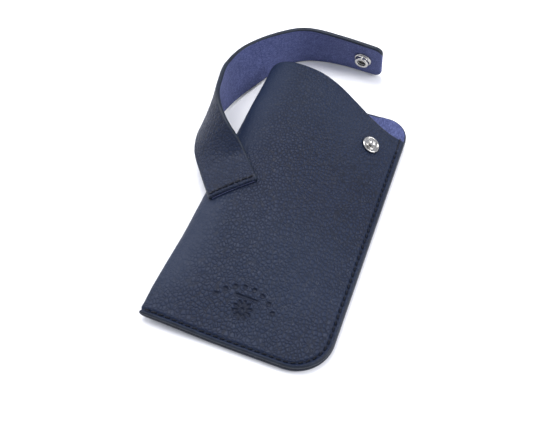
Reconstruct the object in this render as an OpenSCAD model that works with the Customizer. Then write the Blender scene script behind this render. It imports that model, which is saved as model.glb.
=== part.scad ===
// Soft leather pouch for glasses: one folded sheet sewn along the bottom and one side, with a
// long closure strap sewn to the front and a press stud. Lies on its back, strap open.
// Millimetres. X across the pouch, Y from the closed end to the mouth, Z up from the table.

/* [Pouch] */
// Greatest width over the seam margin
case_w = 93.6; // [85:0.2:105]
// Length of the back panel from the sewn end to its top edge
back_len = 169; // [150:1:190]
// Height of the crest of the front edge above the back panel's top edge
crest_h = 7; // [0:0.5:12]
// Radius of the sewn outer corner
corner_r = 19.5; // [12:0.5:26]
// Radius of the back panel's free corner at the mouth
mouth_corner_r = 14; // [8:1:20]
// How far the front stands up above the flat seam when the pouch is half filled
bulge = 17; // [8:0.5:24]

/* [Leather] */
// Thickness of every layer of leather
skin_t = 2.6; // [1.8:0.1:3]

/* [Stitching] */
// Distance from one stitch hole to the next
pitch = 3.55; // [3:0.05:4.2]
// Thread diameter
thread_d = 0.85; // [0.6:0.05:1.1]
// Stitch row to the cut edge
seam_in = 2.9; // [2.4:0.1:4]

/* [Strap] */
// Width of the closure strap
strap_w = 27.6; // [22:0.2:32]
// Corner radius at the strap's free end
tip_r = 5; // [2:0.5:9]
// Gap left where the strap bends, so that the rigid lengths can turn on each other
flex_gap = 0.8; // [0.5:0.1:1.2]
// Wider gap beside the sewn root, where the strap lifts further
root_gap = 2.0; // [1.4:0.1:2.6]

/* [Press stud] */
// Diameter of the stud's flange
flange_d = 10.3; // [9:0.1:12.5]
// Diameter of the ball the socket clicks over
ball_d = 4.6; // [4:0.1:6]

/* [Hidden] */
T = skin_t;
// at the seam each layer is drawn this much thin, so the two never merge inside the pouch
slit = 0.06;
// the row's origin is on the back panel, near its middle
place = [-45, -85, 0];
// the fold's side and the sewn end, from the first stitch hole
x0 = -2.2;
y0 = -2.2;
// the fold draws in this far over this length, as the pouch fills
draw_in = 2.4;
draw_len = 70;
// the sewn side leans in this far, from a place near the corner up to the mouth
lean = 0.7;
lean_from = 20;
lean_len = 137;
// how quickly the bulge grows from the sewn end
swell_len = 52;
swell_pow = 1.35;
// height of the fold's middle, as a share of the bulge
side_share = 0.42;
// the sewn corner beside the fold curls this high, over this width and length
curl_h = 2.6;
curl_w = 42;
curl_len = 48;
// width of the flat margin at the seam, and where the front's crown and margin begin across it
seam_w = 5;
s_top = 0.36;
s_seam = 0.93;
// where the back panel's turn into the fold ends
s_turn = 0.14;
navy = [0.13, 0.17, 0.24];
thread_col = [0.09, 0.11, 0.17];
nickel = [0.78, 0.78, 0.77];
spring_col = [0.6, 0.6, 0.58];

// ---------- small helpers ----------
function clamp01(x) = max(0, min(1, x));
function ease(x) = let (c = clamp01(x)) c * c * (3 - 2 * c);
function mix(a, b, t) = a * (1 - t) + b * t;
function bez(a, b, c, d, t) = a * pow(1 - t, 3) + b * 3 * t * pow(1 - t, 2)
    + c * 3 * t * t * (1 - t) + d * pow(t, 3);
function unit(v) = v / norm(v);
// smooth curve through a list of stations, u counted in stations
function spline(st, u) = let (n = len(st), k = max(0, min(n - 2, floor(u))), f = u - k,
    p1 = st[k], p2 = st[k + 1],
    p0 = k > 0 ? st[k - 1] : 2 * p1 - p2,
    p3 = k < n - 2 ? st[k + 2] : 2 * p2 - p1)
    0.5 * (2 * p1 + (p2 - p0) * f + (2 * p0 - 5 * p1 + 4 * p2 - p3) * f * f
        + (3 * p1 - p0 - 3 * p2 + p3) * f * f * f);

// ---------- shape of the pouch ----------
function left_x(y) = x0 + draw_in * ease(y / draw_len);
// how far the sewn side has leaned in at y
function lean_at(y) = lean * max(0, (y - lean_from) / lean_len);
function corner_cut(y) = corner_r - sqrt(max(0, pow(corner_r, 2) - pow(corner_r + y0 - y, 2)));
function right_x(y) = x0 + case_w - lean_at(y) - (y < corner_r + y0 ? corner_cut(y) : 0);
function rise(y) = bulge * (1 - exp(-pow(max(0, y - 1) / swell_len, swell_pow)));
function side_z(y) = T + side_share * rise(y);
function curl(x, y) = curl_h * ease(1 - x / curl_w) * ease(1 - y / curl_len);
function lifted(p) = [p[0], p[1], p[2] + curl(p[0], p[1])];

// Front panel section at y: s runs 0 at the fold to 1 at the sewn edge. d is 0 outside, T inside.
// It climbs from the fold to the crown, falls to the seam margin and runs flat to the edge.
function front(s, y, d = 0) = let (
    g = d > 0 ? slit : 0,
    L = left_x(y) + d,
    R = right_x(y),
    z = side_z(y),
    top = 2 * T + rise(y) - d + g,
    flat = 2 * T - d + g,
    xc = L - d + s_top * (R - L + d),
    e = R - seam_w,
    kx = mix(0.10, 0.40, rise(y) / bulge),
    q = s < s_top ? bez([L, z], [L, mix(z, top, 0.62)], [mix(L, xc, kx), top], [xc, top], s / s_top)
        : s < s_seam ? bez([xc, top], [mix(xc, e, 0.48), top], [mix(e, xc, 0.24), flat], [e, flat],
            (s - s_top) / (s_seam - s_top))
        : [mix(e, R, (s - s_seam) / (1 - s_seam)), flat])
    lifted([q[0], y, q[1]]);

// Back panel section at y, flat on the table, s 0 at the fold to 1 at the sewn edge
function back(s, y, d = 0) = let (
    L = left_x(y) + d,
    R = right_x(y),
    z = side_z(y),
    low = d > 0 ? d - slit : 0,
    turn = left_x(y) + 1.2 * z + 3,
    q = s < s_turn
        ? bez([L, z], [L, mix(z, low, 0.6)], [mix(L, turn, 0.3), low], [turn, low], s / s_turn)
        : [mix(turn, R, (s - s_turn) / (1 - s_turn)), low])
    lifted([q[0], y, q[1]]);

// Mouth: the front edge rises from the fold to a crest and falls in a slow wave to the seam.
// The back's edge is straight, with one rounded corner.
mouth_wave = [0, 0.6, 1.0, 1.0, 0.62, -0.12, -0.92, -1.5, -1.85, -2.12, -2.4];
mouth_w = case_w - lean;
function front_y(s) = y0 + back_len
    + crest_h * spline(mouth_wave, (len(mouth_wave) - 1) * mix(pow(s, 0.75), s, s));
function back_y(s) = let (c = max(0, s * mouth_w - (mouth_w - mouth_corner_r)))
    y0 + back_len - mouth_corner_r + sqrt(max(0, pow(mouth_corner_r, 2) - c * c));
// y of row t (0 sewn end, 1 mouth); rows are closer together round the sewn corner
function row_y(yt, t) = mix(y0, yt, pow(t, 1.6));

// rows of the skin from the sewn end to the mouth, and its columns on the front and the back
rows = 34;
f_n = 34;
b_n = 18;
// columns run over the front from the seam to the fold, then over the back to the seam
function front_s(i) = 1 - pow(i / f_n, 1.25);
function back_s(i) = 1 - pow(1 - i / b_n, 1.35);
function skin(i, t, d) = i <= f_n ? let (s = front_s(i)) front(s, row_y(front_y(s), t), d)
    : let (s = back_s(i - f_n)) back(s, row_y(back_y(s), t), d);

module case_solid() {
    n = f_n + b_n + 1;
    m = rows + 1;
    pts = concat([for (j = [0:rows]) for (i = [0:n - 1]) skin(i, j / rows, 0)],
        [for (j = [0:rows]) for (i = [0:n - 1]) skin(i, j / rows, T)]);
    o = n * m;
    outer = [for (j = [0:rows - 1]) for (i = [0:n - 2]) for (q = [0, 1])
        let (a = j * n + i, b = a + 1, c = b + n, d = a + n) q == 0 ? [a, b, c] : [a, c, d]];
    inner = [for (j = [0:rows - 1]) for (i = [0:n - 2]) for (q = [0, 1])
        let (a = o + j * n + i, b = a + 1, c = b + n, d = a + n) q == 0 ? [a, c, b] : [a, d, c]];
    foot = [for (i = [0:n - 2]) for (q = [0, 1])
        q == 0 ? [i, o + i, o + i + 1] : [i, o + i + 1, i + 1]];
    lip = [for (i = [0:n - 2]) for (q = [0, 1]) let (a = rows * n + i)
        q == 0 ? [a, o + a + 1, o + a] : [a, a + 1, o + a + 1]];
    first = [for (j = [0:rows - 1]) for (q = [0, 1]) let (a = j * n, b = a + n)
        q == 0 ? [a, b, o + b] : [a, o + b, o + a]];
    last = [for (j = [0:rows - 1]) for (q = [0, 1]) let (a = j * n + n - 1, b = a + n)
        q == 0 ? [a, o + b, b] : [a, o + a, o + b]];
    polyhedron(points = pts, faces = concat(outer, inner, foot, lip, first, last), convexity = 8);
}

// ---------- press stud seat on the front panel ----------
stud_s = 0.757;
stud_y = 137.3;
// hole that the stud and its eyelet meet in, a little wider than both barrels
hole_d = 3.3;
// move children to a point of the front panel, +Z out of the leather, +X across
module on_front(s, y) {
    p = front(s, y);
    a = unit(front(s + 0.01, y) - front(s - 0.01, y));
    b = unit(front(s, y + 1) - front(s, y - 1));
    n = unit(cross(a, b));
    c = cross(n, a);
    multmatrix([[a[0], c[0], n[0], p[0]], [a[1], c[1], n[1], p[1]], [a[2], c[2], n[2], p[2]]])
        children();
}

module case_leather() color(navy) translate(place) difference() {
    case_solid();
    on_front(stud_s, stud_y) translate([0, 0, -T - 2]) cylinder(d = hole_d, h = T + 4, $fn = 24);
}

// ---------- seam stitching ----------
// the row runs along the sewn end, round the corner and up the side to below the mouth
row_x = case_w + x0 - seam_in;
turn_r = corner_r - seam_in + 0.6;
run_a = row_x - turn_r;
run_b = run_a + PI * turn_r / 2;
row_end = 146;
stitches = floor((run_b + row_end - turn_r) / pitch);
// the round thread stands this far out of the front, and lies this high in the back
thread_out = 0.12;
thread_sunk = 0.46;
stitch_gap = 0.35;
// point and heading of the seam line at distance q from its start beside the fold
function seam_at(q) = q < run_a ? [q, 0, 0]
    : q < run_b ? corner_at((q - run_a) / turn_r * 180 / PI)
    : let (y = turn_r + q - run_b) [row_x - lean_at(y), y, 90];
function corner_at(w) = [run_a + turn_r * sin(w), turn_r * (1 - cos(w)), w];

module stitch(z, tilt) {
    translate([0, 0, z]) rotate([0, 0, tilt]) rotate([0, 90, 0])
        cylinder(d = thread_d, h = pitch - stitch_gap, center = true, $fn = 12);
}

module seam_thread() color(thread_col) translate(place) for (k = [0:stitches - 1]) {
    a = seam_at((k + 0.5) * pitch);
    b = seam_at(k * pitch);
    translate([a[0], a[1], curl(a[0], a[1])]) rotate([0, 0, a[2]]) {
        stitch(2 * T + thread_out, 9);
        stitch(thread_sunk, -9);
    }
    translate([b[0], b[1], 0.4 + curl(b[0], b[1])]) cylinder(d = 0.6, h = 2 * T - 0.3, $fn = 8);
}

// ---------- press stud on the front panel ----------
module snap_stud() color(nickel) translate(place) on_front(stud_s, stud_y) rotate_extrude($fn = 64)
    polygon([[0, -1.2], [1.55, -1.2], [1.55, 0.02], [flange_d / 2 - 0.5, 0.02], [flange_d / 2, 0.35],
        [flange_d / 2 - 0.15, 0.95], [flange_d / 2 - 0.8, 1.15], [flange_d / 2 - 1.5, 0.75], [2.6, 0.6],
        [ball_d / 2 - 0.45, 0.85], [ball_d / 2 - 0.45, 1.5], [ball_d / 2, 2.3], [ball_d / 2 - 0.1, 2.9],
        [ball_d / 2 - 0.7, 3.45], [0.9, 3.7], [0.5, 3.35], [0, 3.3]]);

// Eyelet inside the pouch: its flange bears on the flesh side and its barrel meets the stud
module stud_eyelet() color(nickel) translate(place) on_front(stud_s, stud_y) rotate_extrude($fn = 64)
    polygon([[0, -T - 0.75], [3.9, -T - 0.75], [4.5, -T - 0.35], [4.4, -T - 0.12], [1.5, -T - 0.05],
        [1.5, -1.25], [0, -1.25]]);

// ---------- closure strap ----------
// Stations along the strap, about 20 mm apart: the lower edge of the band's middle layer, then the
// way its width points. It lies on the front, rolls over the fold and stands on edge on the table.
strap_low = [[6, 65.5, 15.9], [-6, 81, 13.2], [-16, 96, 11], [-20.7, 114, 7.8], [-17.8, 131, 3.5],
    [-14.5, 148.5, 1.1], [-7.7, 165.7, 0.6], [2.2, 187, 0.5], [15.1, 198.4, 0.6], [35.2, 202.4, 0.7],
    [62.8, 201.6, 0.7]];
strap_up = [[20.5, 17.7, 5.4], [20, 16.7, 9.2], [15.5, 11.5, 19.5], [9, 7.2, 24.8], [0.8, 5.8, 26.9],
    [-5, 3.7, 26.8], [-7.7, 4.2, 26.2], [-1.2, 0.3, 27.5], [0.2, -2.6, 27.5], [0.1, -5.8, 26.9],
    [-0.5, -7.2, 26.5]];
strap_end = len(strap_low) - 1;
// where the strap bends: after the sewn root, then along the loop
cuts = [1.05, 2.7, 4.2, 5.7, 7.0, 8.35];

function low_edge(u) = spline(strap_low, u);
function width_dir(u) = unit(spline(strap_up, u));
function along(u) = let (e = 0.02, a = max(0, u - e), b = min(strap_end, u + e))
    unit(low_edge(b) + width_dir(b) * strap_w / 2 - low_edge(a) - width_dir(a) * strap_w / 2);
// out of the grain side
function grain_dir(u) = unit(cross(width_dir(u), along(u)));
function mid(u) = low_edge(u) + width_dir(u) * strap_w / 2;
// the free end's two corners are rounded
function tip_gap(u) = norm(mid(strap_end) - mid(u));
function half_w(u) = let (g = tip_gap(u)) g < tip_r
    ? strap_w / 2 - tip_r + sqrt(max(0, tip_r * tip_r - pow(tip_r - g, 2))) : strap_w / 2;
bevel = 0.45;
// the ten corners of the strap's cross-section at u
function band_ring(u) = let (m = mid(u), w = width_dir(u), n = grain_dir(u), h = half_w(u), q = T / 2)
    [m + w * h + n * (q - bevel), m + w * (h - bevel) + n * q, m + n * q, m - w * (h - bevel) + n * q,
    m - w * h + n * (q - bevel), m - w * h - n * (q - bevel), m - w * (h - bevel) - n * q, m - n * q,
    m + w * (h - bevel) - n * q, m + w * h - n * (q - bevel)];

// One length of the strap from u0 to u1; sections crowd together at the rounded free end
function band_u(u0, u1, f) = mix(u0, u1, u1 == strap_end ? 1 - pow(1 - f, 1.8) : f);
module band(u0, u1, steps) {
    k = 10;
    us = [for (i = [0:steps]) band_u(u0, u1, i / steps)];
    pts = [for (u = us) each band_ring(u)];
    sides = [for (j = [0:steps - 1]) for (i = [0:k - 1]) for (q = [0, 1])
        let (a = j * k + i, b = j * k + (i + 1) % k, c = b + k, d = a + k)
        q == 0 ? [a, b, c] : [a, c, d]];
    start = [for (i = [1:k - 2]) [0, i + 1, i]];
    finish = [for (i = [1:k - 2]) [steps * k, steps * k + i, steps * k + i + 1]];
    polyhedron(points = pts, faces = concat(sides, start, finish), convexity = 4);
}
// millimetres to one station near u, and half of the bending gap counted in stations
function station_len(u) = norm(mid(u + 0.05) - mid(u - 0.05)) / 0.1;
function gap_u(u) = (u == cuts[0] ? root_gap : flex_gap) / 2 / station_len(u);
// length k runs from the gap at one bend to the gap at the next
module strap_length(k) translate(place)
    band(cuts[k] + gap_u(cuts[k]), cuts[k + 1] - gap_u(cuts[k + 1]), 10);

module strap_root() color(navy) translate(place) band(0, cuts[0] - gap_u(cuts[0]), 8);
module strap_flex_1() color(navy) strap_length(0);
module strap_flex_2() color(navy) strap_length(1);
module strap_flex_3() color(navy) strap_length(2);
module strap_flex_4() color(navy) strap_length(3);
module strap_flex_5() color(navy) strap_length(4);

// move children onto the strap, +Z out of the flesh side, +X along the strap
module on_strap(u) {
    n = -grain_dir(u);
    a = along(u);
    b = cross(n, a);
    p = mid(u);
    multmatrix([[a[0], b[0], n[0], p[0]], [a[1], b[1], n[1], p[1]], [a[2], b[2], n[2], p[2]]])
        children();
}
// the socket sits this many stations along the strap
snap_u = strap_end - 0.42;
module strap_tip() color(navy) translate(place) difference() {
    band(cuts[5] + gap_u(cuts[5]), strap_end, 18);
    on_strap(snap_u) cylinder(d = hole_d, h = T + 4, center = true, $fn = 24);
}

// Row of hand stitches across the sewn root
root_pitch = 3.6;
root_row_u = 0.16;
root_tilt = 81;
module root_stitch() {
    rotate([0, 0, root_tilt]) translate([0, 0, -T / 2 - thread_out]) rotate([0, 90, 0])
        cylinder(d = thread_d, h = root_pitch - stitch_gap, center = true, $fn = 12);
    translate([0, root_pitch / 2, -T / 2]) cylinder(d = 0.6, h = T * 1.6, $fn = 8);
}
module strap_thread() color(thread_col) translate(place) on_strap(root_row_u)
    for (k = [-3:3]) translate([0, k * root_pitch, 0]) root_stitch();

// ---------- socket half of the press stud, on the strap ----------
module snap_socket() color(nickel) translate(place) on_strap(snap_u) translate([0, 0, T / 2])
    rotate_extrude($fn = 64) polygon([[0, -1.1], [1.5, -1.1], [1.5, 0.05], [5.2, 0.05], [5.4, 0.5],
        [5, 1.1], [4.4, 1.5], [4, 3], [3.4, 3.35], [2.65, 3.3], [2.65, 2.7], [3.3, 2.5], [3.3, 1.5],
        [2.65, 1.3], [2.65, 0.6], [0, 0.6]]);
// Split ring of spring wire that grips the ball
module socket_spring() color(spring_col) translate(place) on_strap(snap_u)
    translate([0, 0, T / 2 + 2]) rotate([0, 0, 20]) rotate_extrude(angle = 320, $fn = 48)
    translate([2.8, 0]) circle(d = 0.7, $fn = 16);
// Domed cap on the grain side; its barrel meets the socket's
module snap_cap() color(nickel) translate(place) on_strap(snap_u) translate([0, 0, -T / 2])
    rotate([180, 0, 0]) rotate_extrude($fn = 64)
    polygon([[0, -1.3], [1.45, -1.3], [1.45, 0.05], [5.9, 0.05], [6.2, 0.35], [6, 0.8], [4.8, 1.35],
        [2.6, 1.75], [0, 1.9]]);

case_leather();
seam_thread();
snap_stud();
stud_eyelet();
strap_root();
strap_thread();
strap_flex_1();
strap_flex_2();
strap_flex_3();
strap_flex_4();
strap_flex_5();
strap_tip();
snap_socket();
socket_spring();
snap_cap();
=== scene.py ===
import math

import bpy
import numpy as np
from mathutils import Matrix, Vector


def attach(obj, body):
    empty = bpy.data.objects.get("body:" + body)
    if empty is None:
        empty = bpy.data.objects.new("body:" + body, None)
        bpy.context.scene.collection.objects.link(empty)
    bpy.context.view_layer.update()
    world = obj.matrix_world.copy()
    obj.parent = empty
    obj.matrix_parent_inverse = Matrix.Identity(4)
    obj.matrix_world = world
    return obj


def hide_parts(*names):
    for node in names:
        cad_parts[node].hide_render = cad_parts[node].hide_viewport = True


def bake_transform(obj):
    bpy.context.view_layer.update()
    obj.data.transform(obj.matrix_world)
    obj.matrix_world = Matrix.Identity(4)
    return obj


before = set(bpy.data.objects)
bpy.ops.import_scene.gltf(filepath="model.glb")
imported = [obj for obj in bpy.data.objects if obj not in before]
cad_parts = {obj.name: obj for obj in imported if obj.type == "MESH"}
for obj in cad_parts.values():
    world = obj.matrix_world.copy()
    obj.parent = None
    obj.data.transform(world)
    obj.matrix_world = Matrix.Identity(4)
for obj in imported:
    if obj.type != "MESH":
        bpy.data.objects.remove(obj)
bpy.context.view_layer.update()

# ---------------------------------------------------------------- sizes, in millimetres, as in the CAD
CASE_W, BACK_LEN, CREST_H = 93.6, 169.0, 7.0
CORNER_R, MOUTH_R, BULGE, T = 19.5, 14.0, 17.0, 2.6
PITCH, SEAM_IN = 3.55, 2.9
STRAP_W, TIP_R, ROOT_R = 27.6, 5.0, 1.2
X0, Y0 = -2.2, -2.2  # the fold's side and the sewn end, from the first stitch hole
SEAM_W, S_TOP, S_SEAM = 5.0, 0.36, 0.93  # flat margin; where the crown and the margin begin
SLIT, S_TURN = 0.06, 0.14
DRAW_IN, DRAW_LEN = 2.4, 70  # the fold draws in as the pouch fills
LEAN, LEAN_FROM, LEAN_LEN = 0.7, 20, 137  # the sewn side leans in towards the mouth
SWELL_LEN, SWELL_POW, SIDE_SHARE = 52, 1.35, 0.42
CURL_H, CURL_W, CURL_LEN = 2.6, 42, 48  # the sewn corner beside the fold curls up
ROW_END = 146  # the seam row ends here, below the mouth
STUD_S, STUD_Y = 0.757, 137.3
SOCKET_BACK = 0.42  # stations from the strap's end to the socket
ROOT_PITCH, ROOT_U = 3.6, 0.128
ORIGIN = np.array([-45.0, -85.0, 0.0])
ROUND = 0.95  # how far the burnished round of a cut edge reaches in
MM = 0.001


def ease(x):
    c = np.clip(x, 0, 1)
    return c * c * (3 - 2 * c)


def mix(a, b, t):
    return a * (1 - t) + b * t


def bez(a, b, c, d, t):
    return a * (1 - t) ** 3 + b * 3 * t * (1 - t) ** 2 + c * 3 * t * t * (1 - t) + d * t**3


def spline(stations, u):
    """Smooth curve through a list of stations, u counted in stations."""
    st = np.asarray(stations, float)
    u = np.asarray(u, float)
    k = np.clip(np.floor(u).astype(int), 0, len(st) - 2)
    f = u - k
    p = np.concatenate([[2 * st[0] - st[1]], st, [2 * st[-1] - st[-2]]])
    a, b, c, d = p[k], p[k + 1], p[k + 2], p[k + 3]
    if st.ndim > 1:
        f = f[..., None]
    bend = (2 * a - 5 * b + 4 * c - d) * f * f
    return 0.5 * (2 * b + (c - a) * f + bend + (3 * b - a - 3 * c + d) * f**3)


def unit(v):
    return v / np.maximum(np.linalg.norm(v, axis=-1, keepdims=True), 1e-9)


# ---------------------------------------------------------------- the pouch's shape
def left_x(y):
    return X0 + DRAW_IN * ease(y / DRAW_LEN)


def lean_at(y):
    return LEAN * np.maximum(0, (y - LEAN_FROM) / LEAN_LEN)


def right_x(y, inset=0.0):
    r, cy = CORNER_R - inset, CORNER_R + Y0
    low = np.where(y < cy, r - np.sqrt(np.maximum(0, r * r - (cy - y) ** 2)), 0)
    return X0 + CASE_W - inset - lean_at(y) - low


def rise(y):
    return BULGE * (1 - np.exp(-((np.maximum(0, y - 1) / SWELL_LEN) ** SWELL_POW)))


def side_z(y):
    return T + SIDE_SHARE * rise(y)


def curl(x, y):
    return CURL_H * ease(1 - x / CURL_W) * ease(1 - y / CURL_LEN)


def front(s, y, d=0.0, inset=0.0):
    """Front panel: s 0 at the fold to 1 at the sewn edge, d 0 outside to T inside."""
    g = SLIT * d / T
    left, right, z = left_x(y) + d, right_x(y, inset), side_z(y)
    top, flat = 2 * T + rise(y) - d + g, 2 * T - d + g
    xc = left - d + S_TOP * (right - left + d)
    e = right - SEAM_W + inset
    kx = mix(0.10, 0.40, rise(y) / BULGE)
    t = np.clip(s / S_TOP, 0, 1)
    x1, z1 = bez(left, left, mix(left, xc, kx), xc, t), bez(z, mix(z, top, 0.62), top, top, t)
    t = np.clip((s - S_TOP) / (S_SEAM - S_TOP), 0, 1)
    x2, z2 = bez(xc, mix(xc, e, 0.48), mix(e, xc, 0.24), e, t), bez(top, top, flat, flat, t)
    x3, z3 = mix(e, right, np.clip((s - S_SEAM) / (1 - S_SEAM), 0, 1)), flat
    x = np.where(s < S_TOP, x1, np.where(s < S_SEAM, x2, x3))
    z = np.where(s < S_TOP, z1, np.where(s < S_SEAM, z2, z3))
    return np.stack([x, y + 0 * x, z + curl(x, y)], -1)


def back(s, y, d=0.0, inset=0.0):
    """Back panel, flat on the table, s 0 at the fold to 1 at the sewn edge."""
    left, right, z = left_x(y) + d, right_x(y, inset), side_z(y)
    low, turn = d - SLIT * d / T, left_x(y) + 1.2 * side_z(y) + 3
    t = np.clip(s / S_TURN, 0, 1)
    x1, z1 = bez(left, left, mix(left, turn, 0.3), turn, t), bez(z, mix(z, low, 0.6), low, low, t)
    x2 = mix(turn, right, np.clip((s - S_TURN) / (1 - S_TURN), 0, 1))
    x = np.where(s < S_TURN, x1, x2)
    return np.stack([x, y + 0 * x, np.where(s < S_TURN, z1, low) + curl(x, y)], -1)


MOUTH_WAVE = [0, 0.6, 1.0, 1.0, 0.62, -0.12, -0.92, -1.5, -1.85, -2.12, -2.4]


def front_y(s):
    return Y0 + BACK_LEN + CREST_H * spline(MOUTH_WAVE, (len(MOUTH_WAVE) - 1) * mix(s**0.75, s, s))


def back_y(s, inset=0.0):
    r, w = MOUTH_R - inset, CASE_W - LEAN - inset
    c = np.maximum(0, s * w - (w - r))
    return Y0 + BACK_LEN - MOUTH_R + np.sqrt(np.maximum(0, r * r - c * c))


# ---------------------------------------------------------------- the seam row
ROW_X = CASE_W + X0 - SEAM_IN
TURN_R = CORNER_R - SEAM_IN + 0.6
RUN_A = ROW_X - TURN_R
RUN_B = RUN_A + math.pi * TURN_R / 2
STITCHES = int((RUN_B + ROW_END - TURN_R) / PITCH)


def seam_at(q):
    """Place and heading of the seam row at distance q from its start beside the fold."""
    if q < RUN_A:
        return q, 0.0, 0.0
    if q < RUN_B:
        w = (q - RUN_A) / TURN_R
        return RUN_A + TURN_R * math.sin(w), TURN_R * (1 - math.cos(w)), w
    y = TURN_R + q - RUN_B
    return ROW_X - float(lean_at(y)), y, math.pi / 2


def seam_field(x, y):
    """Distance from the seam row and distance along it, for any place on a panel."""
    px, py = x - RUN_A, TURN_R - y
    row = ROW_X - lean_at(y)
    corner = (px > 0) & (py > 0)
    side = (py <= 0) & (x > 60)
    d = np.where(corner, np.abs(np.hypot(px, py) - TURN_R), np.where(side, np.abs(x - row), np.abs(y)))
    turned_by = TURN_R * np.arctan2(px, np.maximum(py, 1e-6))
    q = np.where(corner, RUN_A + turned_by, np.where(side, RUN_B + y - TURN_R, x))
    return d, q


def seam_dip(x, y, depth):
    """The thread pulls the leather into a groove, deepest at each hole."""
    d, q = seam_field(x, y)
    last = (STITCHES - 0.3) * PITCH
    on = ease((last - q) / 1.5)
    hole = np.cos(np.pi * q / PITCH) ** 8
    groove = depth * np.exp(-((d / 0.75) ** 2)) + 0.5 * depth * hole * np.exp(-((d / 0.6) ** 2))
    swell = 0.16 * np.exp(-(((d - 2.0) / 0.9) ** 2))
    return on * (swell - groove)


# ---------------------------------------------------------------- the pressed mark
MARK_X, ARC_Y, ARC_R, DOT_R, DOTS = 44.3, 9.8, 17.4, 1.15, 8
ROSE_X, ROSE_Y, PETALS = 44.4, 16.2, 10


def disc(x, y, r):
    return np.hypot(x, y) - r


def motif(x, y):
    """0 outside the pressed mark, 1 inside: an arc of dots, a bar and a rosette."""
    shape = np.full(np.shape(x), 9.0)
    for k in range(DOTS):
        a = math.radians(146 - 16 * k)
        lx, ly = x - (MARK_X + ARC_R * math.cos(a)), y - (ARC_Y + ARC_R * math.sin(a))
        shape = np.minimum(shape, disc(lx, ly, DOT_R))
    bar = np.maximum(np.abs(x - MARK_X) - 6.0, np.abs(y - 22.4) - 0.62)
    shape = np.minimum(shape, bar)
    rx, ry = x - ROSE_X, y - ROSE_Y
    shape = np.minimum(shape, disc(rx, ry, DOT_R))
    for k in range(PETALS):
        a = 2 * math.pi * k / PETALS + 0.31
        px, py = rx * math.cos(a) + ry * math.sin(a), -rx * math.sin(a) + ry * math.cos(a)
        petal = np.hypot((px - 3.4) / 1.6, py / 0.72) - 1
        shape = np.minimum(shape, petal * 0.6)
    return ease(0.5 - shape / 0.5)


def undulate(x, y):
    """Slow unevenness of hand-cut, handled leather."""
    a = np.sin(x / 11.3 + y / 23.0 + 0.7) * np.sin(y / 17.0 - x / 31.0 + 1.1)
    b = np.sin(x / 6.1 - y / 9.7 + 2.0) * np.sin(y / 7.3 + x / 14.0)
    return 0.22 * a + 0.07 * b


# ---------------------------------------------------------------- mesh helpers
def new_object(name, verts, faces, materials, index=None):
    mesh = bpy.data.meshes.new(name)
    mesh.from_pydata(((np.asarray(verts) + ORIGIN) * MM).tolist(), [], [list(f) for f in faces])
    for m in materials:
        mesh.materials.append(m)
    if index is not None:
        mesh.polygons.foreach_set("material_index", np.asarray(index, np.int32))
    mesh.polygons.foreach_set("use_smooth", np.full(len(mesh.polygons), True))
    mesh.validate()
    mesh.update()
    obj = bpy.data.objects.new(name, mesh)
    bpy.context.scene.collection.objects.link(obj)
    return obj


def set_attribute(obj, name, values):
    attribute = obj.data.attributes.new(name, "FLOAT", "POINT")
    attribute.data.foreach_set("value", np.asarray(values, np.float32))


def grid_faces(rows, cols, start=0, flip=False):
    i, j = np.meshgrid(np.arange(cols - 1), np.arange(rows - 1))
    a = (start + j * cols + i).ravel()
    quads = np.stack([a, a + 1, a + 1 + cols, a + cols], 1)
    return quads[:, ::-1] if flip else quads


def grid_normals(grid):
    """Unit normals of a grid of points, rows first; du x dv."""
    du = np.gradient(grid, axis=1)
    dv = np.gradient(grid, axis=0)
    return unit(np.cross(du, dv))


# ---------------------------------------------------------------- materials
def new_material(name):
    mat = bpy.data.materials.new(name)
    mat.use_nodes = True
    tree = mat.node_tree
    tree.nodes.clear()
    out = tree.nodes.new("ShaderNodeOutputMaterial")
    shader = tree.nodes.new("ShaderNodeBsdfPrincipled")
    tree.links.new(shader.outputs[0], out.inputs[0])
    return mat, tree, shader


def node(tree, kind, inputs=None, **props):
    n = tree.nodes.new(kind)
    for key, value in props.items():
        setattr(n, key, value)
    for key, value in (inputs or {}).items():
        if isinstance(value, bpy.types.NodeSocket):
            tree.links.new(value, n.inputs[key])
        else:
            n.inputs[key].default_value = value
    return n


def math_node(tree, op, a, b=None, clamp=False):
    inputs = {0: a} if b is None else {0: a, 1: b}
    return node(tree, "ShaderNodeMath", inputs, operation=op, use_clamp=clamp).outputs[0]


def ramp(tree, fac, stops, interpolation="EASE"):
    n = node(tree, "ShaderNodeValToRGB", {0: fac})
    n.color_ramp.interpolation = interpolation
    while len(n.color_ramp.elements) < len(stops):
        n.color_ramp.elements.new(0.5)
    for element, (at, colour) in zip(n.color_ramp.elements, stops):
        element.position = at
        element.color = (*colour, 1) if len(colour) == 3 else (colour[0],) * 3 + (1,)
    return n.outputs[0]


def mix_colour(tree, fac, a, b):
    n = node(tree, "ShaderNodeMix", data_type="RGBA")
    for key, value in ((0, fac), (6, a), (7, b)):
        if isinstance(value, bpy.types.NodeSocket):
            tree.links.new(value, n.inputs[key])
        else:
            n.inputs[key].default_value = (*value, 1) if isinstance(value, tuple) else value
    return n.outputs[2]


def noise(tree, where, scale, detail=2.0, rough=0.5):
    settings = {"Vector": where, "Scale": scale, "Detail": detail, "Roughness": rough}
    return node(tree, "ShaderNodeTexNoise", settings)


def warped(tree, where, scale, amount):
    """Coordinates pushed about by noise, so that cells aren't even."""
    n = noise(tree, where, scale, 2.0)
    middle_grey = {0: n.outputs["Color"], 1: (0.5, 0.5, 0.5)}
    shift = node(tree, "ShaderNodeVectorMath", middle_grey, operation="SUBTRACT")
    scaled = node(tree, "ShaderNodeVectorMath", {0: shift.outputs[0], "Scale": amount}, operation="SCALE")
    return node(tree, "ShaderNodeVectorMath", {0: where, 1: scaled.outputs[0]}, operation="ADD").outputs[0]


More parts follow.
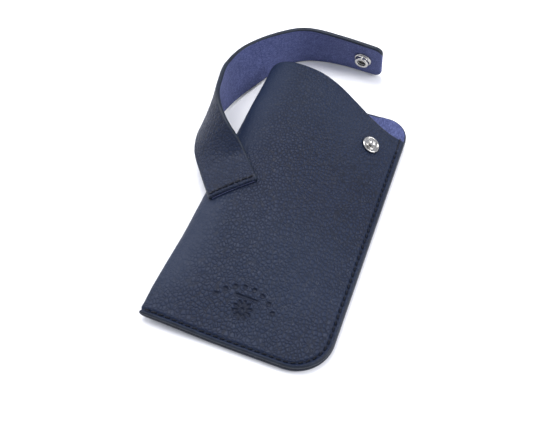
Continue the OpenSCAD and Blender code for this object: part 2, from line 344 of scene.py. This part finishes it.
def attribute(tree, name):
    return node(tree, "ShaderNodeAttribute", attribute_name=name).outputs["Fac"]


def cells(tree, where, scale, feature, smoothness=None):
    settings = {"Vector": where, "Scale": scale}
    if smoothness is not None:
        settings["Smoothness"] = smoothness
    return node(tree, "ShaderNodeTexVoronoi", settings, feature=feature).outputs["Distance"]


def times(tree, a, b):
    return math_node(tree, "MULTIPLY", a, b)


def grain_leather(name):
    """Navy pebbled calf: rounded pebbles with creases darkened by painted shade, smoother where it is
    drawn or pressed.
    """
    pebbles, smalls = 590, 1500  # cells to a metre
    mat, tree, shader = new_material(name)
    where = node(tree, "ShaderNodeTexCoord").outputs["Object"]
    loose = warped(tree, where, 300, 0.0008)
    drawn = node(tree, "ShaderNodeMapping", {"Vector": loose, "Scale": (1.0, 0.80, 1.0)}).outputs[0]
    pebble = cells(tree, drawn, pebbles, "SMOOTH_F1", 0.12)
    pebble = ramp(tree, pebble, [(0.10, (1.0,)), (0.75, (0.0,))], "B_SPLINE")
    crease = cells(tree, drawn, pebbles, "DISTANCE_TO_EDGE")
    crease = ramp(tree, crease, [(0.0, (0.0,)), (0.09, (0.50,)), (0.24, (1.0,))], "B_SPLINE")
    small = cells(tree, loose, smalls, "SMOOTH_F1", 0.3)
    small = ramp(tree, small, [(0.1, (1.0,)), (0.8, (0.0,))], "B_SPLINE")
    patch = noise(tree, where, 30, 3.0).outputs["Fac"]
    broad = noise(tree, where, 13, 2.0).outputs["Fac"]
    pore = noise(tree, where, 3600, 2.0).outputs["Fac"]
    patch = ramp(tree, patch, [(0.25, (0.72,)), (0.75, (1.0,))])
    strength = times(tree, patch, attribute(tree, "grain"))
    height = math_node(tree, "ADD", times(tree, pebble, 0.40), times(tree, small, 0.16))
    height = math_node(tree, "ADD", height, times(tree, crease, 0.50))
    height = times(tree, height, strength)
    bump = node(tree, "ShaderNodeBump", {"Height": height, "Strength": 1.0, "Distance": 0.00047})
    fine = node(tree, "ShaderNodeBump", {"Height": pore, "Strength": 0.16, "Distance": 0.00006,
                                         "Normal": bump.outputs[0]})
    tree.links.new(fine.outputs[0], shader.inputs["Normal"])
    # deep serves the painted shade in the creases, the seam's groove and the mark; rubbed is a paler tone
    # for random patches and for the painted highlight along the fold
    deep, body = (0.0004, 0.0010, 0.0050), (0.0070, 0.0128, 0.0325)
    rubbed = (0.0145, 0.0235, 0.0480)
    # painted shade: the creases between pebbles are mixed towards the deep colour as if shadowed; where
    # the grain is weak the mix stays nearer the body colour
    open_grain = math_node(tree, "ADD", math_node(tree, "SUBTRACT", 1.0, strength), crease, True)
    top = mix_colour(tree, open_grain, deep, body)
    top = mix_colour(tree, ramp(tree, broad, [(0.35, (0.0,)), (0.75, (0.45,))]), top, rubbed)
    # painted highlight: the paler tone is mixed in along the fold, partly as wear and partly as the sheen
    # the fold catches; on the strap, a little where it is stretched
    top = mix_colour(tree, times(tree, attribute(tree, "rub_and_sheen"), 0.6), top, rubbed)
    # painted shade: the seam's groove and the pressed mark are mixed towards the deep colour, and on the
    # strap the root's stitch groove
    top = mix_colour(tree, attribute(tree, "press"), top, deep)
    tree.links.new(top, shader.inputs["Base Color"])
    matt = ramp(tree, noise(tree, where, 300, 3.0).outputs["Fac"], [(0.3, (0.44,)), (0.75, (0.56,))])
    tree.links.new(matt, shader.inputs["Roughness"])
    shader.inputs["Specular IOR Level"].default_value = 0.20
    return mat


def suede(name, dark, body, pale):
    """The flesh side: a short even nap, mottled where it has been brushed."""
    mat, tree, shader = new_material(name)
    where = node(tree, "ShaderNodeTexCoord").outputs["Object"]
    stretched = node(tree, "ShaderNodeMapping", {"Vector": where, "Scale": (1.0, 0.55, 1.3)}).outputs[0]
    nap = noise(tree, stretched, 1300, 4.0, 0.75).outputs["Fac"]
    tuft = noise(tree, warped(tree, where, 90, 0.004), 330, 4.0, 0.65).outputs["Fac"]
    patch = noise(tree, where, 28, 3.0, 0.6).outputs["Fac"]
    tone = mix_colour(tree, ramp(tree, patch, [(0.3, (0.0,)), (0.72, (1.0,))]), dark, body)
    tone = mix_colour(tree, ramp(tree, tuft, [(0.35, (0.15,)), (0.75, (0.6,))]), tone, pale)
    tone = mix_colour(tree, ramp(tree, nap, [(0.40, (0.75,)), (0.52, (0.0,))]), tone, dark)
    tone = mix_colour(tree, ramp(tree, nap, [(0.52, (0.0,)), (0.64, (0.7,))]), tone, pale)
    tree.links.new(tone, shader.inputs["Base Color"])
    rough = ramp(tree, nap, [(0.3, (0.86,)), (0.7, (1.0,))])
    tree.links.new(rough, shader.inputs["Roughness"])
    height = math_node(tree, "ADD", times(tree, nap, 0.55), times(tree, tuft, 0.6))
    bump = node(tree, "ShaderNodeBump", {"Height": height, "Strength": 0.75, "Distance": 0.00045})
    tree.links.new(bump.outputs[0], shader.inputs["Normal"])
    shader.inputs["Specular IOR Level"].default_value = 0.12
    shader.inputs["Sheen Weight"].default_value = 0.40
    shader.inputs["Sheen Roughness"].default_value = 0.45
    shader.inputs["Sheen Tint"].default_value = (0.55, 0.6, 1.0, 1)
    return mat


def painted_edge(name):
    """Cut edge, rubbed smooth and painted: a dark, slightly uneven gloss."""
    mat, tree, shader = new_material(name)
    where = node(tree, "ShaderNodeTexCoord").outputs["Object"]
    drag = node(tree, "ShaderNodeMapping", {"Vector": where, "Scale": (1.0, 1.0, 2.6)}).outputs[0]
    coat = noise(tree, drag, 260, 3.0).outputs["Fac"]
    fibre = noise(tree, drag, 1500, 3.0, 0.6).outputs["Fac"]
    coated = ramp(tree, coat, [(0.3, (0.0,)), (0.7, (1.0,))])
    tone = mix_colour(tree, coated, (0.0035, 0.0065, 0.0140), (0.0080, 0.0140, 0.0270))
    tree.links.new(tone, shader.inputs["Base Color"])
    tree.links.new(ramp(tree, fibre, [(0.3, (0.40,)), (0.7, (0.56,))]), shader.inputs["Roughness"])
    height = math_node(tree, "ADD", coat, times(tree, fibre, 0.4))
    bump = node(tree, "ShaderNodeBump", {"Height": height, "Strength": 0.3, "Distance": 0.00016})
    tree.links.new(bump.outputs[0], shader.inputs["Normal"])
    shader.inputs["Specular IOR Level"].default_value = 0.28
    return mat


def waxed_thread(name):
    mat, tree, shader = new_material(name)
    where = node(tree, "ShaderNodeTexCoord").outputs["Object"]
    fibre = noise(tree, where, 5200, 3.0, 0.7).outputs["Fac"]
    tone = mix_colour(tree, fibre, (0.0008, 0.0014, 0.0042), (0.0030, 0.0048, 0.0120))
    tree.links.new(tone, shader.inputs["Base Color"])
    tree.links.new(ramp(tree, fibre, [(0.3, (0.42,)), (0.7, (0.62,))]), shader.inputs["Roughness"])
    bump = node(tree, "ShaderNodeBump", {"Height": fibre, "Strength": 0.5, "Distance": 0.00008})
    tree.links.new(bump.outputs[0], shader.inputs["Normal"])
    shader.inputs["Specular IOR Level"].default_value = 0.25
    return mat


def plated(name, body, worn, low, high):
    """Plated metal with handling haze and hairline scratches."""
    mat, tree, shader = new_material(name)
    where = node(tree, "ShaderNodeTexCoord").outputs["Object"]
    haze = noise(tree, where, 420, 4.0, 0.6).outputs["Fac"]
    drag = node(tree, "ShaderNodeMapping", {"Vector": where, "Scale": (1, 9, 1)}).outputs[0]
    hair = noise(tree, drag, 2600, 2.0).outputs["Fac"]
    tree.links.new(mix_colour(tree, ramp(tree, haze, [(0.4, (0.0,)), (0.8, (1.0,))]), body, worn),
                   shader.inputs["Base Color"])
    tree.links.new(ramp(tree, haze, [(0.3, (low,)), (0.75, (high,))]), shader.inputs["Roughness"])
    bump = node(tree, "ShaderNodeBump", {"Height": hair, "Strength": 0.06, "Distance": 0.00003})
    tree.links.new(bump.outputs[0], shader.inputs["Normal"])
    shader.inputs["Metallic"].default_value = 1.0
    return mat


leather = grain_leather("navy_grain")
flesh = suede("blue_suede", (0.030, 0.037, 0.092), (0.056, 0.069, 0.168), (0.098, 0.114, 0.245))
edge = painted_edge("edge_paint")
thread = waxed_thread("waxed_thread")
nickel = plated("nickel_plate", (0.46, 0.45, 0.425), (0.36, 0.35, 0.33), 0.12, 0.24)
spring_wire = plated("spring_wire", (0.5, 0.5, 0.49), (0.36, 0.35, 0.34), 0.22, 0.4)
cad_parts["socket_spring"].data.materials.clear()
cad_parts["socket_spring"].data.materials.append(spring_wire)


# ---------------------------------------------------------------- the pouch
def case_sheet():
    """The folded sheet as one closed skin: outside, rounded cut edges, flesh side."""
    f_s = np.concatenate([np.linspace(0, S_TOP, 66)[:-1], np.linspace(S_TOP, S_SEAM, 128)[:-1],
                          np.linspace(S_SEAM, 1, 17)])
    b_s = np.concatenate([np.linspace(0, S_TURN, 14)[:-1], np.linspace(S_TURN, S_SEAM, 46)[:-1],
                          np.linspace(S_SEAM, 1, 15)])
    # rows are close together as far as the pressed mark
    fine, full = 38, 168
    near = np.linspace(0, fine, 104)[:-1]
    rows = np.concatenate([near[:10] * 0.9, near[10:], np.linspace(fine, full, 150)])
    rows = np.sort(rows) / full
    front_s, back_s = f_s[::-1], b_s[1:]
    n_f, n, m = len(front_s), len(front_s) + len(back_s), len(rows)

    def layer(col, row, d, inset):
        """Points for columns col and rows row, at depth d, with the outline drawn in by inset."""
        tau = rows[row]
        is_front = col < n_f
        s = np.where(is_front, front_s[np.minimum(col, n_f - 1)],
                     back_s[np.clip(col - n_f, 0, len(back_s) - 1)])
        top = np.where(is_front, front_y(s) - inset, back_y(s, inset) - inset * (s < 0.8))
        y = mix(Y0 + inset, top, tau)
        pts = np.where(is_front[..., None], front(s, y, d, inset), back(s, y, d, inset))
        return pts, is_front

    col, row = np.meshgrid(np.arange(n), np.arange(m))
    outer, is_front = layer(col, row, 0.0, ROUND)
    inner, _ = layer(col, row, T, ROUND)
    normal = -grid_normals(outer)
    x, y = outer[..., 0], outer[..., 1]
    rim = np.minimum.reduce([col, n - 1 - col, row, m - 1 - row])
    keep = ease(rim / 3.0)
    pressed = motif(x, y) * is_front
    quiet = ease((np.hypot(x - 70, y - 137) - 7) / 8) * ease((np.hypot(x - 14, y - 78) - 16) / 10)
    wave = undulate(x, y) * is_front * ease((88 - x) / 14) * ease((y - 3) / 12) * quiet
    dip = np.where(is_front, seam_dip(x, y, 0.46), seam_dip(x, y, 0.62))
    stud_dip = -0.25 * np.exp(-(((np.hypot(x - STUD[0], y - STUD[1]) - 4.6) / 1.6) ** 2)) * is_front
    height = (dip + wave + stud_dip) * keep - 0.62 * pressed
    outer = outer + normal * height[..., None]
    # nothing of the back stands below the table
    outer[..., 2] = np.maximum(outer[..., 2], 0.02)

    verts = [outer.reshape(-1, 3), inner.reshape(-1, 3)]
    faces = [grid_faces(m, n, flip=True), grid_faces(m, n, n * m)]
    kind = [np.zeros(len(faces[0]), int), np.full(len(faces[1]), 1)]
    loop = np.concatenate([np.arange(n), (np.arange(1, m) * n) + n - 1,
                           (m - 1) * n + np.arange(n - 2, -1, -1), np.arange(m - 2, 0, -1) * n])
    base, steps = 2 * n * m, 6
    rings = [loop]
    for k in range(1, steps):
        a = math.pi * k / steps
        ring, _ = layer(loop % n, loop // n, T / 2 * (1 - math.cos(a)), ROUND * (1 - math.sin(a)))
        verts.append(ring)
        rings.append(base + (k - 1) * len(loop) + np.arange(len(loop)))
    rings.append(loop + n * m)
    for lower, upper in zip(rings[:-1], rings[1:]):
        a, b = lower, np.roll(lower, -1)
        c, d = np.roll(upper, -1), upper
        quads = np.stack([a, b, c, d], 1)
        faces.append(quads)
        kind.append(np.full(len(quads), 2))
    verts = np.concatenate(verts)
    skins = [leather, flesh, edge]
    obj = new_object("pouch_leather", verts, np.concatenate(faces), skins, np.concatenate(kind))
    # the leather is drawn smooth over the fold and along the crest, and pressed smooth in the mark
    x, y = verts[:, 0], verts[:, 1]
    fold = ease(1 - (x - 1) / 24) * ease((y + 12) / 50)
    grain = 1 - 0.62 * fold
    flat = np.zeros(len(verts))
    flat[: n * m] = pressed.ravel()
    # painted highlight: a mask along the fold for the paler tone, partly wear and partly the fold's sheen,
    # kept out of the pressed mark
    set_attribute(obj, "rub_and_sheen", np.clip(fold * 0.8 - 0.9 * flat, 0, 1))
    # painted shade: the seam's groove and the mark's walls are darkened as if shadowed, and the mark's
    # floor is darkened as well
    d, q = seam_field(x, y)
    groove = 0.30 * np.exp(-((d / 0.5) ** 2)) * ease(((STITCHES - 0.3) * PITCH - q) / 1.5)
    wall_shade = 4 * flat * (1 - flat)
    shade = np.zeros(len(verts))
    shade[: n * m] = np.clip(groove[: n * m] + 0.5 * wall_shade[: n * m] + 0.5 * flat[: n * m], 0, 0.9)
    set_attribute(obj, "press", shade)
    ironed = 0.75 * np.exp(-((d / 1.1) ** 2))
    set_attribute(obj, "grain", np.clip(grain - 0.75 * flat - ironed, 0.08, 1))
    return obj


def stud_place():
    p = front(np.array(STUD_S), np.array(STUD_Y))
    return float(p[0]), float(p[1])


STUD = stud_place()
pouch = case_sheet()
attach(pouch, "case")
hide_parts("case_leather")


# ---------------------------------------------------------------- stitches
def strand(path, radius, sides, verts, faces):
    """One round strand along a path, closed at both ends."""
    path = np.asarray(path)
    tangent = unit(np.gradient(path, axis=0))
    ref = np.array([0.0, 0.0, 1.0]) if abs(tangent[0][2]) < 0.9 else np.array([1.0, 0.0, 0.0])
    a = unit(np.cross(tangent, ref))
    b = np.cross(tangent, a)
    start, n = sum(len(v) for v in verts), len(path)
    swell = 1 - 0.35 * np.abs(np.linspace(-1, 1, n)) ** 3
    w = np.linspace(0, 2 * math.pi, sides, endpoint=False)
    r = radius * swell[:, None, None]
    spokes = a[:, None] * np.cos(w)[:, None] + b[:, None] * np.sin(w)[:, None]
    verts.append((path[:, None] + r * spokes).reshape(-1, 3))
    for j in range(n - 1):
        for i in range(sides):
            p = start + j * sides
            q = (i + 1) % sides
            faces.append((p + i, p + q, p + sides + q, p + sides + i))
    faces.append(tuple(start + i for i in range(sides))[::-1])
    faces.append(tuple(start + (n - 1) * sides + i for i in range(sides)))


def twisted(path, verts, faces, turns, radius=0.27, offset=0.19):
    """Two plies laid round each other."""
    path = np.asarray(path)
    tangent = unit(np.gradient(path, axis=0))
    a = unit(np.cross(tangent, np.array([0.01, 0.02, 1.0])))
    b = np.cross(tangent, a)
    t = np.linspace(0, 1, len(path))[:, None]
    for ply in (0, math.pi):
        w = 2 * math.pi * turns * t + ply
        strand(path + offset * (a * np.cos(w) + b * np.sin(w)), radius, 7, verts, faces)


def arch(start, finish, up, rise_mm, sink, steps=11):
    """A stitch from hole to hole: out of the leather, over it and back in."""
    t = np.linspace(0, 1, steps)[:, None]
    lift = (1 - (2 * t - 1) ** 4) * (rise_mm + sink) - sink
    return mix(np.asarray(start), np.asarray(finish), t) + np.asarray(up) * lift


def seam_stitches():
    verts, faces = [], []
    for k in range(STITCHES):
        for side in (1, -1):
            x0, y0, h0 = seam_at((k + 0.15) * PITCH)
            x1, y1, h1 = seam_at((k + 0.85) * PITCH)
            lean = 0.26 * side
            a = np.array([x0 + lean * math.sin(h0), y0 - lean * math.cos(h0), 0.0])
            b = np.array([x1 - lean * math.sin(h1), y1 + lean * math.cos(h1), 0.0])
            z = 2 * T if side > 0 else 0.0
            a[2], b[2] = z + curl(a[0], a[1]), z + curl(b[0], b[1])
            if side > 0:
                path = arch(a, b, (0, 0, 1.0), 0.06, 0.80)
            else:
                path = arch(a, b, (0, 0, -1.0), -0.52, 0.95)
            twisted(path, verts, faces, 1.15 * side)
    x, y, _ = seam_at(STITCHES * PITCH)
    edge_y = float(front_y(np.array(0.97)))
    # the last stitch wraps over the mouth's edge
    wrap = [(x, y - 0.2, 4.7), (x, y + 0.2, 5.3), (x - 0.15, (y + edge_y) / 2, 5.42),
            (x - 0.25, edge_y - 0.1, 5.15),
            (x - 0.3, edge_y + 0.38, 4.2), (x - 0.3, edge_y + 0.3, 2.95), (x - 0.3, edge_y - 0.7, 2.3)]
    twisted(spline(wrap, np.linspace(0, len(wrap) - 1, 26)), verts, faces, 3.5)
    return new_object("seam_stitches", np.concatenate(verts), faces, [thread])


stitches = seam_stitches()
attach(stitches, "case")
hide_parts("seam_thread")

# ---------------------------------------------------------------- the closure strap
# stations along its lower edge, and the way its width points at each
STRAP_LOW = [(6, 65.5, 15.9), (-6, 81, 13.2), (-16, 96, 11), (-20.7, 114, 7.8), (-17.8, 131, 3.5),
             (-14.5, 148.5, 1.1), (-7.7, 165.7, 0.6), (2.2, 187, 0.5), (15.1, 198.4, 0.6),
             (35.2, 202.4, 0.7), (62.8, 201.6, 0.7)]
STRAP_UP = [(20.5, 17.7, 5.4), (20, 16.7, 9.2), (15.5, 11.5, 19.5), (9, 7.2, 24.8), (0.8, 5.8, 26.9),
            (-5, 3.7, 26.8), (-7.7, 4.2, 26.2), (-1.2, 0.3, 27.5), (0.2, -2.6, 27.5), (0.1, -5.8, 26.9),
            (-0.5, -7.2, 26.5)]
CUTS = (1.05, 2.7, 4.2, 5.7, 7.0, 8.35)
STRAP_END = len(STRAP_LOW) - 1


def width_dir(u):
    return unit(spline(STRAP_UP, u))


def middle(u):
    return spline(STRAP_LOW, u) + width_dir(u) * STRAP_W / 2


def front_height(x, y):
    """Height of the front panel over a place, found by halving, and its slope's cosine."""

    def find(x, y):
        lo, hi = np.zeros(np.shape(x)), np.ones(np.shape(x))
        for _ in range(26):
            s = (lo + hi) / 2
            left = front(s, y)[..., 0] < x
            lo, hi = np.where(left, s, lo), np.where(left, hi, s)
        return front((lo + hi) / 2, y)[..., 2]

    z = find(x, y)
    slope = np.hypot(find(x + 0.5, y) - find(x - 0.5, y), find(x, y + 0.5) - find(x, y - 0.5))
    return z, 1 / np.sqrt(1 + slope**2)


def strap_surface(u, h):
    """Middle layer of the strap at stations u, h across it; the root beds down on the front."""
    p = middle(u)[:, None, :] + width_dir(u)[:, None, :] * h[..., None]
    near = u < 1.6
    q = p[near]
    z, cosine = front_height(q[..., 0], q[..., 1])
    want = z + (T / 2 + 0.02) / np.maximum(cosine, 0.75)
    weight = (1 - ease((u[near][:, None] - 0.60) / 0.85)) * ease((q[..., 0] - 0.5) / 9)
    q[..., 2] = mix(q[..., 2], want, weight)
    p[near] = q
    return p


def strap_grid():
    """Stations close together at the root end and the tip, where the edge turns."""
    u = np.linspace(0, STRAP_END, 420)
    tip = STRAP_END - 0.19 * (1 - np.cos(np.linspace(0, math.pi / 2, 16)))
    ends = np.concatenate([u, np.linspace(0, 0.05, 6), tip])
    marks = [(a + b) / 2 for a, b in zip(CUTS[:-1], CUTS[1:])]
    return np.unique(np.round(np.concatenate([ends, marks]), 6)), marks


def strap_pieces():
    u, marks = strap_grid()
    along = np.concatenate([[0], np.cumsum(np.linalg.norm(np.diff(middle(u), axis=0), axis=1))])
    gap_end, gap_root = along[-1] - along, along

    def rounded(gap, r):
        return STRAP_W / 2 - r + np.sqrt(np.maximum(0, r**2 - (r - gap) ** 2))

    half = np.where(gap_end < TIP_R, rounded(gap_end, TIP_R), STRAP_W / 2)
    half = np.where(gap_root < ROOT_R, rounded(gap_root, ROOT_R), half)
    # the cut ends are rounded over like the long edges
    gap = np.minimum(gap_end, gap_root)
    thick = T / 2 * np.sqrt(np.clip(1 - ((ROUND - np.minimum(gap, ROUND)) / ROUND) ** 2, 0.02, 1))
    across = np.sin(np.linspace(-math.pi / 2, math.pi / 2, 31))
    across = 0.5 * across + 0.5 * np.linspace(-1, 1, 31)
    h = across[None, :] * (half - ROUND)[:, None]
    mid = strap_surface(u, h)
    normal = grid_normals(mid)
    out_dir = unit(np.gradient(mid, axis=1))
    steps = 6
    turns = [math.pi * k / steps for k in range(1, steps)]
    deep = normal * thick[:, None, None]
    grain_side, flesh_side = mid + deep, mid - deep
    right = [mid[:, -1] + out_dir[:, -1] * ROUND * math.sin(a) + deep[:, -1] * math.cos(a) for a in turns]
    left = [mid[:, 0] - out_dir[:, 0] * ROUND * math.sin(a) - deep[:, 0] * math.cos(a) for a in turns]
    sides = [grain_side, np.stack(right, 1), flesh_side[:, ::-1], np.stack(left, 1)]
    ring = np.concatenate(sides, axis=1)
    n_a = grain_side.shape[1]
    kinds = np.array([0] * (n_a - 1) + [2] * steps + [1] * (n_a - 1) + [2] * steps)
    # stitches press the root down in a short groove
    dist = np.abs(along - 2.5)
    ring[:, :n_a] -= normal * (0.28 * np.exp(-((dist / 0.8) ** 2)))[:, None, None]
    pulled = np.exp(-(((along - 21) / 16) ** 2))
    # painted shade: the leather in the root's stitch groove is darkened
    pressed = 0.7 * np.exp(-((dist / 0.7) ** 2))
    return u, marks, ring, kinds, pulled, pressed


def strap_lengths():
    u, marks, ring, kinds, pulled, pressed = strap_pieces()
    ends = [0.0] + marks + [float(STRAP_END)]
    nodes = [("strap_root",), ("strap_flex_1",), ("strap_flex_2",), ("strap_flex_3",), ("strap_flex_4",),
             ("strap_flex_5", "strap_tip")]
    k = ring.shape[1]
    for i, (u0, u1) in enumerate(zip(ends[:-1], ends[1:])):
        pick = np.where((u >= u0 - 1e-5) & (u <= u1 + 1e-5))[0]
        part, m = ring[pick], len(pick)
        j, c = np.meshgrid(np.arange(m - 1), np.arange(k), indexing="ij")
        a, b = j * k + c, j * k + (c + 1) % k
        faces = np.stack([a, b, b + k, a + k], -1).reshape(-1, 4).tolist()
        index = np.tile(kinds, m - 1).tolist()
        faces += [tuple(range(k))[::-1], tuple(range((m - 1) * k, m * k))]
        index += [2, 2]
        obj = new_object(f"strap_{i + 1}", part.reshape(-1, 3), faces, [leather, flesh, edge], index)
        stretch = np.repeat(pulled[pick], k)
        set_attribute(obj, "grain", 1 - 0.12 * stretch)
        set_attribute(obj, "rub_and_sheen", 0.10 * stretch)
        # painted shade: darkens the root's stitch groove
        set_attribute(obj, "press", np.repeat(pressed[pick], k))
        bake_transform(obj)
        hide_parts(*nodes[i])


strap_lengths()


def root_stitches():
    """Seven hand stitches across the sewn root."""
    verts, faces = [], []
    for k in range(-3, 4):
        h0, h1 = (k - 0.44) * ROOT_PITCH, (k + 0.44) * ROOT_PITCH
        ends = strap_surface(np.array([ROOT_U - 0.012, ROOT_U + 0.012]), np.array([[h0, h1], [h0, h1]]))
        along = middle(np.array(0.2)) - middle(np.array(0.0))
        up = unit(np.cross(width_dir(np.array(ROOT_U)), along))
        a, b = ends[0, 0] + up * (T / 2), ends[1, 1] + up * (T / 2)
        twisted(arch(a, b, up, 0.12, 0.7), verts, faces, 1.1)
    obj = new_object("root_stitches", np.concatenate(verts), faces, [thread])
    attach(obj, "case")
    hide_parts("strap_thread")


root_stitches()


# ---------------------------------------------------------------- press stud
def arc(cx, cz, rx, rz, start, end, steps=12):
    """Points of an arc of a turned profile, angles in degrees from the outward direction."""
    w = np.radians(np.linspace(start, end, steps))
    return list(zip(cx + rx * np.cos(w), cz + rz * np.sin(w)))


def turned(name, profile, place, axes, body, cad_node, segments=80):
    """The profile of (radius, height) swept round the third axis and closed on it at both ends."""
    r, z = np.array(profile[1:-1]).T
    w = np.linspace(0, 2 * math.pi, segments, endpoint=False)
    local = np.stack([r[:, None] * np.cos(w), r[:, None] * np.sin(w), z[:, None] + 0 * w], -1)
    local = local.reshape(-1, 3)
    poles = np.array([(0, 0, profile[0][1]), (0, 0, profile[-1][1])])
    verts = place + np.concatenate([local, poles]) @ np.array(axes)
    n = len(r)
    faces = []
    for j in range(n - 1):
        for i in range(segments):
            a, b = j * segments + i, j * segments + (i + 1) % segments
            faces.append((a, b, b + segments, a + segments))
    for i in range(segments):
        k = (i + 1) % segments
        faces.append((n * segments, k, i))
        faces.append((n * segments + 1, (n - 1) * segments + i, (n - 1) * segments + k))
    obj = new_object(name, verts, faces, [nickel])
    obj.data.set_sharp_from_angle(angle=math.radians(50))
    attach(obj, body)
    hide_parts(cad_node)


def front_axes(s, y):
    a = unit(front(np.array(s + 0.01), np.array(y)) - front(np.array(s - 0.01), np.array(y)))
    b = unit(front(np.array(s), np.array(y + 1.0)) - front(np.array(s), np.array(y - 1.0)))
    n = unit(np.cross(a, b))
    return a, np.cross(n, a), n


def strap_axes(u):
    """Along the strap, across it and out of its flesh side."""
    a = unit(middle(np.array(u + 0.02)) - middle(np.array(u - 0.02)))
    n = -unit(np.cross(width_dir(np.array(u)), a))
    return a, np.cross(n, a), n


def press_stud():
    base, axes = front(np.array(STUD_S), np.array(STUD_Y)), front_axes(STUD_S, STUD_Y)
    stud = [(0, -1.2), (1.55, -1.2), (1.55, 0.02), (4.4, 0.02), *arc(4.58, 0.58, 0.56, 0.56, -90, 205, 26),
            (3.7, 0.27), (3.3, 0.24), *arc(2.95, 0.26, 0.2, 0.2, 0, 180, 9), (2.6, 0.25),
            *arc(2.4, 0.92, 0.62, 0.62, -90, -170, 9), *arc(0, 2.35, 2.3, 1.35, -42, 72, 24),
            *arc(0, 3.95, 0.62, 0.52, -30, -90, 7)]
    turned("press_stud", stud, base, axes, "case", "snap_stud")
    eyelet = [(0, -T - 0.62), (1.0, -T - 0.66), (1.3, -T - 0.72), (3.8, -T - 0.75),
              *arc(4.05, -T - 0.42, 0.44, 0.33, -90, 60, 14), (1.5, -T - 0.05), (1.5, -1.25), (0, -1.25)]
    turned("stud_eyelet_ring", eyelet, base, axes, "case", "stud_eyelet")


def press_socket():
    u = STRAP_END - SOCKET_BACK
    axes = strap_axes(u)
    base = middle(np.array(u))
    socket = [(0, -1.1), (1.5, -1.1), (1.5, 0.05), (4.8, 0.05), *arc(4.95, 0.5, 0.45, 0.45, -90, 75, 14),
              (4.72, 1.02), (4.5, 1.25), (4.38, 1.7), (4.3, 2.3), *arc(3.72, 2.78, 0.58, 0.56, 5, 95, 10),
              (3.3, 3.3), *arc(3.02, 3.0, 0.34, 0.32, 90, 190, 9), (2.66, 2.72), (3.24, 2.52), (3.3, 2.0),
              (3.24, 1.5), (2.68, 1.3), (2.65, 0.66), (2.4, 0.6), (0, 0.6)]
    turned("press_socket", socket, base + axes[2] * T / 2, axes, "strap_end", "snap_socket")
    out = (axes[0], -axes[1], -axes[2])
    cap = [(0, -1.3), (1.45, -1.3), (1.45, 0.05), (5.7, 0.05), *arc(5.8, 0.42, 0.4, 0.37, -90, 80, 14),
           *arc(0, 0.72, 6.0, 1.16, 12, 86, 22), (0, 1.88)]
    turned("press_cap", cap, base - axes[2] * T / 2, out, "strap_end", "snap_cap")


press_stud()
press_socket()


# ---------------------------------------------------------------- floor, light and camera
def floor():
    mat, tree, shader = new_material("pale_floor")
    where = node(tree, "ShaderNodeTexCoord").outputs["Object"]
    soft = noise(tree, where, 2.0, 2.0).outputs["Fac"]
    tone = mix_colour(tree, soft, (0.84, 0.84, 0.845), (0.88, 0.88, 0.885))
    tree.links.new(tone, shader.inputs["Base Color"])
    shader.inputs["Roughness"].default_value = 0.9
    shader.inputs["Specular IOR Level"].default_value = 0.1
    mesh = bpy.data.meshes.new("floor")
    r = 12.0
    mesh.from_pydata([(-r, -r, 0), (r, -r, 0), (r, r, 0), (-r, r, 0)], [], [(0, 1, 2, 3)])
    mesh.materials.append(mat)
    obj = bpy.data.objects.new("floor", mesh)
    bpy.context.scene.collection.objects.link(obj)


floor()


def area_light(name, place, aim, size, power, colour):
    light = bpy.data.lights.new(name, "AREA")
    light.shape, light.size, light.energy, light.color = "DISK", size, power, colour
    obj = bpy.data.objects.new(name, light)
    obj.location = place
    obj.rotation_euler = (Vector(aim) - Vector(place)).to_track_quat("-Z", "Y").to_euler()
    bpy.context.scene.collection.objects.link(obj)


area_light("key", (-0.26, 0.26, 1.0), (0, 0, 0), 0.60, 8.8, (0.98, 0.98, 1.0))
area_light("side", (0.78, 0.16, 0.62), (0, 0, 0), 0.60, 6.4, (0.97, 0.97, 1.0))
area_light("fill", (-0.85, 0.22, 0.60), (0, 0, 0), 0.90, 4.5, (0.95, 0.96, 1.0))

world = bpy.data.worlds.new("studio")
bpy.context.scene.world = world
world.use_nodes = True
world.node_tree.nodes["Background"].inputs[0].default_value = (0.86, 0.89, 1.0, 1)
world.node_tree.nodes["Background"].inputs[1].default_value = 0.85
bpy.context.scene.view_settings.view_transform = "Standard"

camera = bpy.data.objects.new("camera", bpy.data.cameras.new("camera"))
camera.data.lens, camera.data.sensor_width = 46.94, 36.0
camera.data.clip_start = 0.01
camera.location = (0.0652, -0.2070, 0.3086)
target = Vector((-0.0102, -0.0108, 0.0052))
camera.rotation_euler = (target - camera.location).to_track_quat("-Z", "Y").to_euler()
bpy.context.scene.collection.objects.link(camera)
bpy.context.scene.camera = camera
